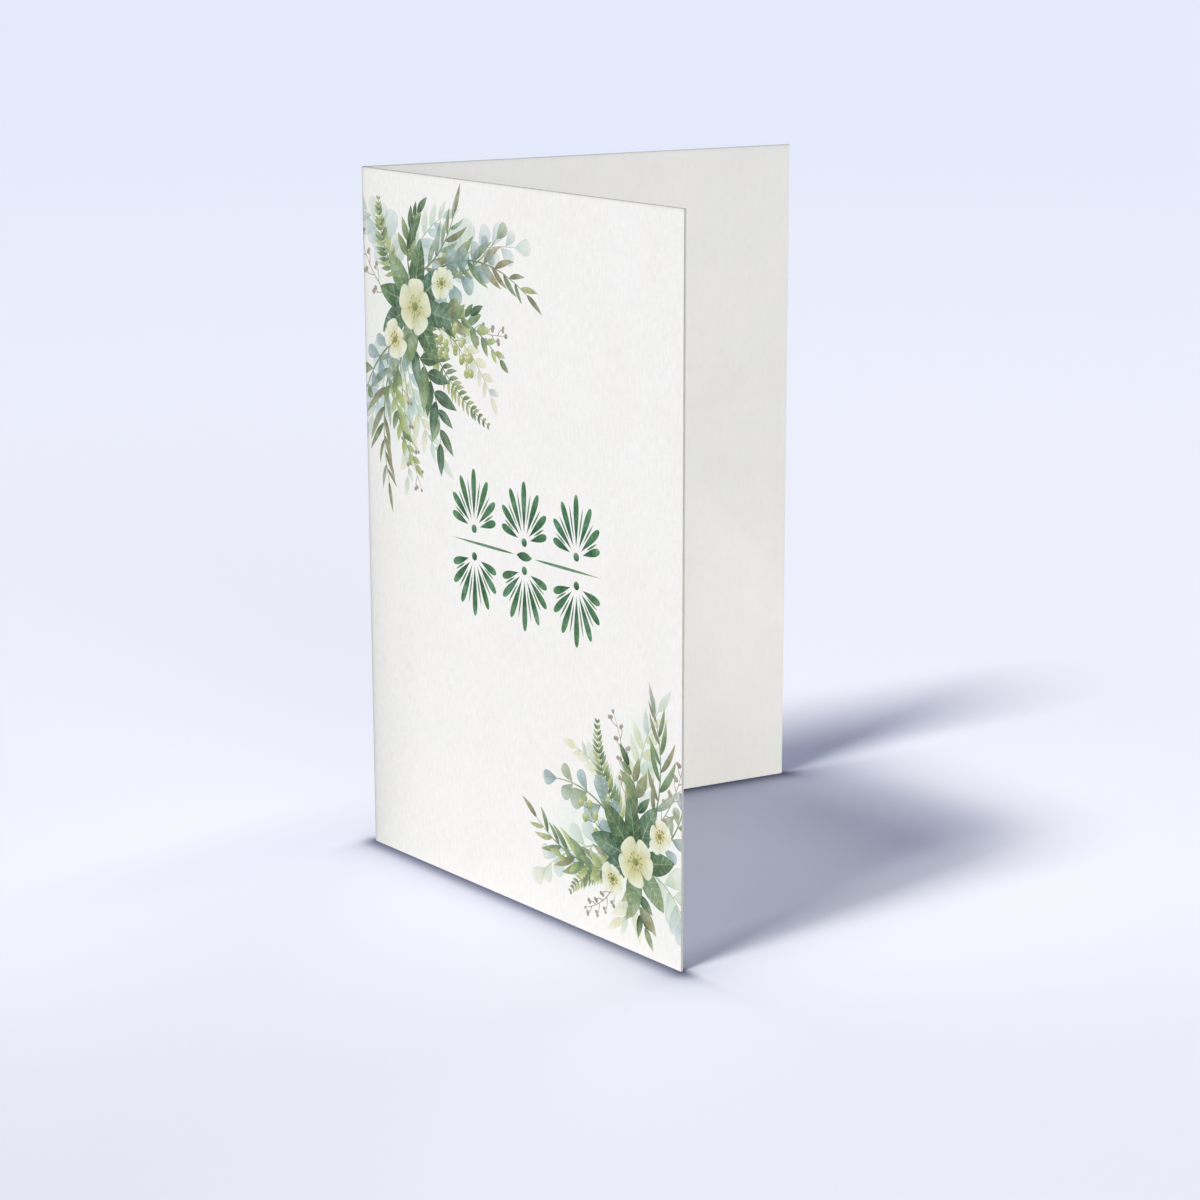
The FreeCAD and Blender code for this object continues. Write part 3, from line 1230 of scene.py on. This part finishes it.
def only(piece: bpy.types.Object) -> None:
    """Select one object and nothing else, and make it the active one."""
    bpy.ops.object.select_all(action="DESELECT")
    piece.select_set(True)
    bpy.context.view_layer.objects.active = piece


def read_sheet(mesh: bpy.types.Mesh) -> np.ndarray:
    """Return each point's place on the flat sheet: x, depth and z."""
    spots = np.empty(len(mesh.vertices) * 3, dtype=np.float32)
    mesh.attributes["Sheet"].data.foreach_get("vector", spots)
    return spots.reshape(-1, 3).astype(float)


def store(mesh: bpy.types.Mesh, name: str, kind: str, values: np.ndarray, field_name: str) -> None:
    """Keep values at the corners of a mesh's faces under a name that its material reads."""
    attribute = mesh.attributes.new(name, kind, "CORNER")
    attribute.data.foreach_set(field_name, values.astype(np.float32).ravel())


# Materials


class Value:
    """A number that varies over a surface: a node's output, with arithmetic that adds Math nodes."""

    def __init__(self, tree: bpy.types.NodeTree, socket: bpy.types.NodeSocket) -> None:
        """Hold a socket of this tree."""
        self.tree = tree
        self.socket = socket

    def _math(self, operation: str, first: "Value | float", second: "Value | float" = 0.0) -> "Value":
        """Add a Math node to the tree, and return what comes out of it."""
        node = self.tree.nodes.new("ShaderNodeMath")
        node.operation = operation
        for index, operand in enumerate((first, second)):
            if isinstance(operand, Value):
                self.tree.links.new(operand.socket, node.inputs[index])
            else:
                node.inputs[index].default_value = operand
        return Value(self.tree, node.outputs[0])

    def __add__(self, other: "Value | float") -> "Value":
        """Add."""
        return self._math("ADD", self, other)

    __radd__ = __add__

    def __sub__(self, other: "Value | float") -> "Value":
        """Subtract."""
        return self._math("SUBTRACT", self, other)

    def __rsub__(self, other: float) -> "Value":
        """Subtract from a number."""
        return self._math("SUBTRACT", other, self)

    def __mul__(self, other: "Value | float") -> "Value":
        """Multiply."""
        return self._math("MULTIPLY", self, other)

    __rmul__ = __mul__

    def __abs__(self) -> "Value":
        """Drop the sign."""
        return self._math("ABSOLUTE", self)

    def decay(self, reach: float) -> "Value":
        """Fall from 1 at 0 by a constant share over each reach."""
        return self._math("EXPONENT", self * (-1.0 / reach))

    def least(self, other: "Value | float") -> "Value":
        """Take the smaller one."""
        return self._math("MINIMUM", self, other)

    def most(self, other: "Value | float") -> "Value":
        """Take the larger one."""
        return self._math("MAXIMUM", self, other)

    def clamp(self, low: float, high: float) -> "Value":
        """Keep within two bounds."""
        return self.least(high).most(low)

    def wave(self) -> "Value":
        """Take the sine."""
        return self._math("SINE", self)

    def ramp(self, low: float, high: float) -> "Value":
        """Rise smoothly from 0 at low to 1 at high, or fall if high is the smaller."""
        node = self.tree.nodes.new("ShaderNodeMapRange")
        node.interpolation_type = "SMOOTHSTEP"
        self.tree.links.new(self.socket, node.inputs["Value"])
        node.inputs["From Min"].default_value = min(low, high)
        node.inputs["From Max"].default_value = max(low, high)
        node.inputs["To Min"].default_value = 0.0 if low < high else 1.0
        node.inputs["To Max"].default_value = 1.0 if low < high else 0.0
        return Value(self.tree, node.outputs["Result"])


class Shader:
    """A new material's node tree and the few ways in which it is filled."""

    def __init__(self, name: str) -> None:
        """Start a material with a plain surface shader."""
        self.material = bpy.data.materials.new(name)
        self.material.use_nodes = True
        self.tree = self.material.node_tree
        self.surface = self.tree.nodes["Principled BSDF"]

    def node(self, kind: str, settings: dict | None = None, sockets: dict | None = None) -> bpy.types.Node:
        """Add a node.

        Args:
            kind: its type.
            settings: its own properties, set first.
            sockets: values or links of its sockets, by name or number.

        Returns:
            The node.
        """
        node = self.tree.nodes.new(kind)
        for name, setting in (settings or {}).items():
            setattr(node, name, setting)
        for name, value in (sockets or {}).items():
            self.feed(node.inputs[name], value)
        return node

    def feed(self, socket: bpy.types.NodeSocket, value: object) -> None:
        """Link a socket to a value or an output, or set it."""
        if isinstance(value, Value):
            self.tree.links.new(value.socket, socket)
        elif isinstance(value, bpy.types.NodeSocket):
            self.tree.links.new(value, socket)
        else:
            socket.default_value = value

    def attribute(self, name: str) -> bpy.types.Node:
        """Add a node that reads one of the mesh's own attributes."""
        return self.node("ShaderNodeAttribute", {"attribute_name": name})

    def noise(self, place: object, scale: float, detail: float = 2.0, roughness: float = 0.5) -> Value:
        """Add a noise of this fineness, about 0 to 1."""
        sockets = {"Vector": place, "Scale": scale, "Detail": detail, "Roughness": roughness}
        return Value(self.tree, self.node("ShaderNodeTexNoise", None, sockets).outputs["Fac"])

    def length(self, across: Value, along: Value) -> Value:
        """Return how long the vector with these two parts is."""
        vector = self.node("ShaderNodeCombineXYZ", None, {0: across, 1: along}).outputs[0]
        node = self.node("ShaderNodeVectorMath", {"operation": "LENGTH"}, {0: vector})
        return Value(self.tree, node.outputs["Value"])

    def mix(self, blend: str, factor: object, first: object, second: object) -> bpy.types.NodeSocket:
        """Blend two colours, and return the result's socket."""
        node = self.node("ShaderNodeMix", {"data_type": "RGBA", "blend_type": blend})
        self.feed(node.inputs[0], factor)
        self.feed(node.inputs[6], first)
        self.feed(node.inputs[7], second)
        return node.outputs[2]


def seen_directly(tree: bpy.types.NodeTree) -> Value:
    """Return 1 for what the camera sees, also in a mirror or through glass, and 0 for other light."""
    light = tree.nodes.new("ShaderNodeLightPath")
    camera, glossy, through = (
        Value(tree, light.outputs[name]) for name in ("Is Camera Ray", "Is Glossy Ray", "Is Transmission Ray")
    )
    return camera.most(glossy).most(through)


def rgba(colour: Iterable[float]) -> tuple[float, ...]:
    """Return a linear colour with full opacity."""
    return (*(float(part) for part in colour), 1.0)


@dataclass(frozen=True)
class PaintedBoard:
    """Uncoated felt board with watercolour print, and painted shade at its fold, its crease and its cut
    edges.

    Attributes:
        width: each leaf from the crease to its free edge, in millimetres.
        height: from the standing edge to the top edge.
        fold_x: the middle of the fold on the outer face, in millimetres from the crease.
        paper: the bare board's colour.
        felt_scale: how fine the felt's grain is, in waves per metre.
        relief: how deep the felt's grain is, in metres.
        painted_fold_shade_reach: how far from the fold the painted shade fades, in millimetres.
        painted_fold_shade: the share of the paper's colour that the painted shade leaves at the fold.
        painted_crease_shade: the share that the painted dark line in the crease leaves.
        painted_cut_edge_shade: the share that the painted dark line beside a cut edge leaves.
    """

    width: float
    height: float
    fold_x: float
    paper: RGB = PAPER
    felt_scale: float = 1100.0
    relief: float = 0.00002
    painted_fold_shade_reach: float = 9.5
    painted_fold_shade: RGB = (0.8, 0.81, 0.8)
    painted_crease_shade: RGB = (0.42, 0.43, 0.42)
    painted_cut_edge_shade: RGB = (0.55, 0.55, 0.53)

    def make(self) -> bpy.types.Material:
        """Build the material."""
        shader = Shader("painted_board")
        place = shader.node("ShaderNodeTexCoord").outputs["Object"]
        sheet = shader.attribute("Sheet").outputs["Vector"]
        base = self._paper_colour(shader, sheet)
        printed = shader.mix("MULTIPLY", 1.0, base, self._ink(shader, place))
        self._finish(shader, sheet, printed)
        return shader.material

    def _paper_colour(self, shader: Shader, sheet: bpy.types.NodeSocket) -> bpy.types.NodeSocket:
        """Return the bare board's colour: fine upright fibres, soft mottling, and painted shade at the fold
        and along its edges.
        """
        parts = shader.node("ShaderNodeSeparateXYZ", None, {0: sheet})
        across, depth, height = (Value(shader.tree, parts.outputs[axis]) for axis in range(3))
        stretched = shader.node(
            "ShaderNodeVectorMath", {"operation": "MULTIPLY"}, {0: sheet, 1: (1.0, 1.0, 0.24)}
        ).outputs[0]
        specks = shader.noise(sheet, 1.3, 3.0, 0.7) - 0.5
        strands = shader.noise(stretched, 1.7, 3.0, 0.65) - 0.5
        fibres = (strands + specks * 0.5) * (2.3 - depth * 1.5) + 0.5
        mottle = shader.noise(sheet, 0.085, 3.0, 0.55)
        warm = shader.noise(sheet, 0.05, 2.0, 0.5)
        paper = linear(self.paper)
        tone = shader.mix("MIX", fibres, rgba(paper * 0.955), rgba(paper * 1.045))
        tone = shader.mix("MULTIPLY", mottle.ramp(0.32, 0.7), tone, rgba((0.975, 0.982, 0.976)))
        tone = shader.mix("MULTIPLY", warm.ramp(0.5, 0.7), tone, rgba((1.0, 0.982, 0.982)))
        for share, shade in self._painted_edge_shades(across, depth, height):
            tone = shader.mix("MULTIPLY", share, tone, rgba(shade))
        return tone

    def _painted_edge_shades(self, across: Value, depth: Value, height: Value) -> list[tuple[Value, RGB]]:
        """Return the painted shade: grey at the fold, a dark line in the crease and a dark line along the cut
        edges.

        Args:
            across: the place across the sheet, in millimetres.
            depth: 0 on the outer face to 1 on the inner face.
            height: the place above the standing edge.

        Returns:
            For each, how strong it is over the surface and the share of the colour that it leaves.
        """
        from_fold = abs(across - self.fold_x)
        # Painted shade: grey towards the fold, strongest near the standing edge and weaker on the inner face.
        fold_shading = from_fold.decay(self.painted_fold_shade_reach) * (height * -0.0055 + 1.25) * (1.0 - depth * 0.3)
        # Painted shade: a thin dark line in the crease.
        crease = abs(across + 0.1).decay(0.4)
        # Painted shade: a thin dark line beside the top edge and the free edges.
        to_side = self.width - self.fold_x - from_fold
        cut = (self.height - height).least(to_side * 3.0 + 0.16).decay(0.15)
        return [(fold_shading.least(1.0), self.painted_fold_shade), (crease, self.painted_crease_shade), (cut, self.painted_cut_edge_shade)]

    def _ink(self, shader: Shader, place: bpy.types.NodeSocket) -> bpy.types.NodeSocket:
        """Return the print as the share of the paper's colour that it leaves."""
        ink = shader.attribute("Ink").outputs["Color"]
        within = shader.node(
            "ShaderNodeSeparateXYZ", None, {0: shader.attribute("Within").outputs["Vector"]}
        )
        along, aside, veins = (Value(shader.tree, within.outputs[axis]) for axis in range(3))
        blotch = shader.noise(place, 330.0, 3.0, 0.6)
        grain = shader.noise(place, 2100.0, 2.0, 0.7)
        tint = shader.noise(place, 140.0, 2.0, 0.5)
        rows = (along * 46.0 - abs(aside) * 7.0).wave()
        vein = rows.ramp(0.86, 1.0) * veins * 0.3
        pool = shader.noise(place, 900.0, 2.0, 0.5)
        density = 0.06 + blotch * 1.35 + pool * 0.34 + grain.ramp(0.3, 0.75) * 0.12 - vein
        power = shader.node("ShaderNodeCombineXYZ", None, {0: density, 1: density, 2: density}).outputs[0]
        laid = shader.node("ShaderNodeVectorMath", {"operation": "POWER"}, {0: ink, 1: power}).outputs[0]
        cool = shader.mix("MIX", tint.ramp(0.35, 0.68), rgba((0.97, 1.0, 1.03)), rgba((1.03, 1.0, 0.94)))
        shaded = shader.mix("MULTIPLY", 1.0, laid, cool)
        depth = shader.node("ShaderNodeRGBToBW", None, {0: ink}).outputs[0]
        painted = Value(shader.tree, depth).ramp(0.96, 0.8)
        print_colour = shader.mix("MIX", painted, laid, shaded)
        amount = Value(shader.tree, shader.attribute("Wash").outputs["Fac"])
        bloom = (amount + (shader.noise(place, 70.0, 4.0, 0.6) - 0.5) * 0.7).ramp(0.1, 0.95)
        return shader.mix("MULTIPLY", bloom, print_colour, rgba((0.91, 0.97, 0.94)))

    def _finish(self, shader: Shader, sheet: bpy.types.NodeSocket, colour: bpy.types.NodeSocket) -> None:
        """Connect the colour, the matte surface and the felt's relief."""
        felt = shader.noise(sheet, self.felt_scale * METRES, 3.0, 0.65)
        coarse = shader.noise(sheet, self.felt_scale * METRES * 0.3, 2.0, 0.5)
        bump = shader.node(
            "ShaderNodeBump",
            None,
            {"Strength": 1.0, "Distance": self.relief, "Height": felt + coarse * 1.4},
        )
        surface = shader.surface
        shader.feed(surface.inputs["Base Color"], colour)
        shader.feed(surface.inputs["Roughness"], felt * 0.12 + 0.82)
        shader.feed(surface.inputs["Normal"], bump.outputs["Normal"])
        surface.inputs["Specular IOR Level"].default_value = 0.25


# The surroundings


class Footprint:
    """Where the points of the floor lie from the card's two standing edges, in metres.

    Attributes:
        width: the length of each standing edge.
        x: the place along the cover's edge, from the crease.
        y: the place behind it.
        past: how far x lies past either end of the cover's edge.
        along: the place along the back leaf's edge, from the crease.
        across: the place to the left of that edge, outside the card.
        from_cover: the distance from the cover's edge.
        from_back: the distance from the back leaf's edge.
        within: 1 between the two leaves, and 0 elsewhere.
    """

    def __init__(self, shader: Shader, sheet: FoldedSheet) -> None:
        """Work the places out from the floor's own coordinates."""
        place = shader.node("ShaderNodeTexCoord").outputs["Object"]
        parts = shader.node("ShaderNodeSeparateXYZ", None, {0: place})
        cosine, sine = direction(sheet.opening)
        self.width = sheet.width * METRES
        x, y = (Value(shader.tree, parts.outputs[axis]) for axis in (0, 1))
        self.x, self.y = x, y
        self.past = x - x.clamp(0.0, self.width)
        self.along, self.across = x * cosine + y * sine, y * cosine - x * sine
        self.from_cover = shader.length(self.past, y)
        self.from_back = shader.length(self.along - self.along.clamp(0.0, self.width), self.across)
        self.within = self.across.ramp(0.001, -0.001) * y.ramp(-0.001, 0.003)


@dataclass(frozen=True)
class Floor:
    """The wide pale floor, with a painted pool of light round the card and painted shade round its foot and
    in its shadow.

    Attributes:
        sheet: the form of the card that stands on it.
        shadow: the way that the key lamp's shadows fall on it, which the painted shadow follows.
        radius: how far it reaches.
        near: its colour beside the card, as displayed, paler than far as a painted pool of light.
        far: its colour in the distance.
        bounce: the share of the light that it throws back on the card.
    """

    sheet: FoldedSheet
    shadow: Point
    radius: float = 9.0
    near: RGB = (246, 248, 255)
    far: RGB = (236, 243, 254)
    bounce: RGB = (0.66, 0.66, 0.67)

    def build(self) -> None:
        """Make the floor, a disc with a matte material."""
        bpy.ops.object.select_all(action="DESELECT")
        bpy.ops.mesh.primitive_circle_add(vertices=96, radius=self.radius, fill_type="NGON")
        floor = bpy.context.active_object
        floor.name = "floor"
        shader = Shader("floor")
        colour = shader.mix("MIX", seen_directly(shader.tree), rgba(self.bounce), self._seen(shader))
        shader.feed(shader.surface.inputs["Base Color"], colour)
        shader.surface.inputs["Roughness"].default_value = 1.0
        shader.surface.inputs["Specular IOR Level"].default_value = 0.0
        floor.data.materials.append(shader.material)

    def _seen(self, shader: Shader) -> bpy.types.NodeSocket:
        """Return the colour in which the floor is seen, with its painted pool of light and painted shade."""
        foot = Footprint(shader, self.sheet)
        # Painted pool of light: paler round the card, deepening into the distance.
        apart = shader.length(foot.x - 0.1, foot.y).ramp(0.15, 2.2)
        seen = shader.mix("MIX", apart, rgba(linear(self.near)), rgba(linear(self.far)))
        for share, shade in [*self._painted_contact_shade(shader, foot), *self._painted_soft_shadow(shader, foot)]:
            seen = shader.mix("MULTIPLY", share, seen, rgba(shade))
        return seen

    def _painted_contact_shade(self, shader: Shader, foot: Footprint) -> list[tuple[Value, RGB]]:
        """Return the painted shade in front of the card and round its foot, from the widest to the narrowest.

        Args:
            shader: the floor's material.
            foot: where its points lie from the card.

        Returns:
            For each shade, how strong it is over the floor and the share of the colour that it leaves.
        """
        x, y = foot.x, foot.y
        # Painted shade: a darker floor just in front of the cover.
        before = shader.length(foot.past * 3.0, y).ramp(0.12, 0.0) * y.ramp(0.04, -0.02) * x.ramp(0.14, 0.02)
        # Painted shade: a darker floor towards the front.
        front = (y * 0.622 - x * 0.783).ramp(-0.03, -0.14)
        # Painted contact shadow: dark bands along the feet of both leaves.
        ahead = y.ramp(0.002, -0.001) * x.ramp(-0.004, 0.002)
        back_touch = foot.from_back.ramp(0.006, 0.001) * foot.within * 0.8
        touch = (foot.from_cover.ramp(0.0056, 0.0014) * ahead).most(back_touch)
        near = (foot.from_cover.decay(0.005) * ahead).most(foot.from_back.decay(0.0038) * foot.within)
        beside = foot.from_cover.least(foot.from_back).decay(0.0016)
        return [
            (before, (0.85, 0.86, 0.9)),
            (front, (0.945, 0.96, 0.955)),
            (touch, (0.63, 0.645, 0.67)),
            (near, (0.34, 0.35, 0.45)),
            (beside, (0.3, 0.31, 0.4)),
        ]

    def _painted_soft_shadow(self, shader: Shader, foot: Footprint) -> list[tuple[Value, RGB]]:
        """Return the painted soft parts of the shadow: its border, its hollow, where two meet, and its tip.

        Args:
            shader: the floor's material.
            foot: where its points lie from the card.

        Returns:
            For each part, how strong it is over the floor and the share of the colour that it leaves.
        """
        y, along, across = foot.y, foot.along, foot.across
        # Painted shadow, on top of the key lamp's own: a soft border, the hollow between the leaves, where
        # the two shadows meet, and the far tip.
        out = (foot.x - foot.width) * self.shadow[1] - y * self.shadow[0]
        border = (out + 0.001).most(0.0).decay(0.009) * out.ramp(-0.011, 0.0)
        border = border * y.ramp(-0.006, 0.004) * y.ramp(0.13, 0.06)
        hollow = foot.from_back.decay(0.035) * foot.within * out.ramp(0.0, -0.012) * along.ramp(0.112, 0.07)
        merged = shader.length(along - foot.width, across).decay(0.014) * across.ramp(0.003, -0.004)
        tip = y.ramp(0.058, 0.106) * y.ramp(0.13, 0.106) * out.ramp(0.004, -0.014) * foot.x.ramp(0.0, 0.05)
        return [
            (border, (0.72, 0.735, 0.765)),
            (hollow, (0.75, 0.765, 0.83)),
            (merged, (0.74, 0.75, 0.81)),
            (tip, (0.78, 0.79, 0.84)),
        ]


@dataclass(frozen=True)
class Lamp:
    """A distant lamp.

    Attributes:
        name: what it is called.
        strength: its light on a surface that faces it.
        towards: the way its light travels.
        spread: its width as the card sees it, in degrees.
        colour: its colour, linear.
    """

    name: str
    strength: float
    towards: Place
    spread: float
    colour: RGB = (1.0, 1.0, 1.0)

    def build(self) -> None:
        """Add the lamp to the scene."""
        lamp = bpy.data.lights.new(self.name, "SUN")
        lamp.energy = self.strength * math.pi
        lamp.angle = math.radians(self.spread)
        lamp.color = self.colour
        holder = bpy.data.objects.new(self.name, lamp)
        holder.rotation_euler = Vector(self.towards).to_track_quat("-Z", "Y").to_euler()
        bpy.context.scene.collection.objects.link(holder)


@dataclass(frozen=True)
class LowSpot:
    """A low spot lamp that lifts the foot of the inner faces and leaves the floor alone.

    Attributes:
        strength: its light where it is aimed.
        place: where it stands.
        aim: the point that it is turned to.
        cone: how wide its cone is, in degrees.
        size: its radius, which softens its light.
        colour: its colour, linear.
    """

    strength: float = 0.34
    place: Place = (0.4, 0.06, 0.006)
    aim: Place = (0.012, 0.06, -0.008)
    cone: float = 24.0
    size: float = 0.02
    colour: RGB = (1.07, 1.02, 0.9)

    def build(self, card: bpy.types.Object) -> None:
        """Add the lamp to the scene, and link its light to the card."""
        beam = Vector(self.aim) - Vector(self.place)
        lamp = bpy.data.lights.new("lift", "SPOT")
        lamp.energy = self.strength * (2.0 * math.pi * beam.length) ** 2
        lamp.spot_size = math.radians(self.cone)
        lamp.spot_blend = 1.0
        lamp.shadow_soft_size = self.size
        lamp.color = self.colour
        holder = bpy.data.objects.new("lift", lamp)
        holder.location = self.place
        holder.rotation_euler = beam.to_track_quat("-Z", "Y").to_euler()
        holder.visible_camera = False
        bpy.context.scene.collection.objects.link(holder)
        lit = bpy.data.collections.new("lifted")
        lit.objects.link(card)
        holder.light_linking.receiver_collection = lit


@dataclass(frozen=True)
class Viewpoint:
    """The camera, where the picture was taken from.

    Attributes:
        place: where it stands.
        forward: the way it looks.
        right: the way that the right side of its picture points.
        lens: its focal length, in millimetres.
        sensor: the width of its sensor.
        reach: how far it sees, in metres.
    """

    place: Place = (0.52807, -0.356083, 0.208244)
    forward: Place = (-0.7613074, 0.60412994, -0.23545286)
    right: Place = (0.62206385, 0.78296277, -0.00242325)
    lens: float = 90.408
    sensor: float = 36.0
    reach: float = 100.0

    def build(self) -> None:
        """Add the camera and make it the scene's own."""
        forward = Vector(self.forward).normalized()
        right = Vector(self.right)
        right = (right - forward * right.dot(forward)).normalized()
        turn = Matrix((right, right.cross(forward), -forward)).transposed().to_4x4()
        lens = bpy.data.cameras.new("camera")
        lens.lens = self.lens
        lens.sensor_width = self.sensor
        lens.clip_end = self.reach
        camera = bpy.data.objects.new("camera", lens)
        camera.matrix_world = Matrix.Translation(Vector(self.place)) @ turn
        bpy.context.scene.collection.objects.link(camera)
        bpy.context.scene.camera = camera


@dataclass(frozen=True)
class Studio:
    """The floor, the lamps, the light from all round and the camera.

    Attributes:
        key: the lamp from the front and above, which casts the shadow.
        fill: the lamp from the right.
        back: the lamp behind the card.
        lift: the low spot lamp.
        viewpoint: the camera.
        ambient: the light from all round, linear.
        horizon: what the camera sees beyond the floor, as displayed.
    """

    key: Lamp = Lamp("key", 0.8, (-0.085, 0.615, -0.784), 14.0, (1.055, 1.02, 0.945))
    fill: Lamp = Lamp("fill", 0.455, (-0.955, 0.28, -0.08), 40.0, (1.045, 1.0, 0.83))
    back: Lamp = Lamp("back", 0.5, (0.37, -0.92, -0.07), 40.0)
    lift: LowSpot = LowSpot()
    viewpoint: Viewpoint = Viewpoint()
    ambient: RGB = (0.148, 0.17, 0.28)
    horizon: RGB = (227, 233, 251)

    def build(self, card: bpy.types.Object, sheet: FoldedSheet) -> None:
        """Make everything round the card.

        Args:
            card: the dressed card.
            sheet: its form.
        """
        x, y, _ = self.key.towards
        Floor(sheet, (x / math.hypot(x, y), y / math.hypot(x, y))).build()
        self._world()
        for lamp in (self.key, self.fill, self.back):
            lamp.build()
        self.lift.build(card)
        self.viewpoint.build()
        bpy.context.scene.view_settings.view_transform = "Standard"

    def _world(self) -> None:
        """Make the even light from all round, with the horizon's colour where the camera sees it."""
        world = bpy.data.worlds.new("studio")
        world.use_nodes = True
        tree = world.node_tree
        background = tree.nodes["Background"]
        background.inputs["Color"].default_value = rgba(self.ambient)
        seen = tree.nodes.new("ShaderNodeBackground")
        seen.inputs["Color"].default_value = rgba(linear(self.horizon))
        mix = tree.nodes.new("ShaderNodeMixShader")
        tree.links.new(seen_directly(tree).socket, mix.inputs[0])
        tree.links.new(background.outputs[0], mix.inputs[1])
        tree.links.new(seen.outputs[0], mix.inputs[2])
        tree.links.new(mix.outputs[0], tree.nodes["World Output"].inputs[0])
        bpy.context.scene.world = world


def report(card: bpy.types.Object) -> None:
    """Say how large the card's mesh is and whether it is closed."""
    mesh = card.data
    uses: dict[tuple[int, int], int] = {}
    for face in mesh.polygons:
        for edge in face.edge_keys:
            uses[edge] = uses.get(edge, 0) + 1
    open_edges = sum(1 for count in uses.values() if count != 2)
    log.info("%s: %d points, %d faces, %d edges not shared by two faces",
             card.name, len(mesh.vertices), len(mesh.polygons), open_edges)


def main() -> None:
    """Build the card and the studio round it."""
    logging.basicConfig(level=logging.INFO, format="%(name)s: %(message)s")
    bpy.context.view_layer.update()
    sheet = FoldedSheet()
    card = PrintedSheet(sheet).build()
    card.data.materials.append(PaintedBoard(sheet.width, sheet.height, sheet.fold_x).make())
    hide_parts(NODE)
    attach(card, BODY)
    report(card)
    Studio().build(card, sheet)


if __name__ == "__main__":
    main()
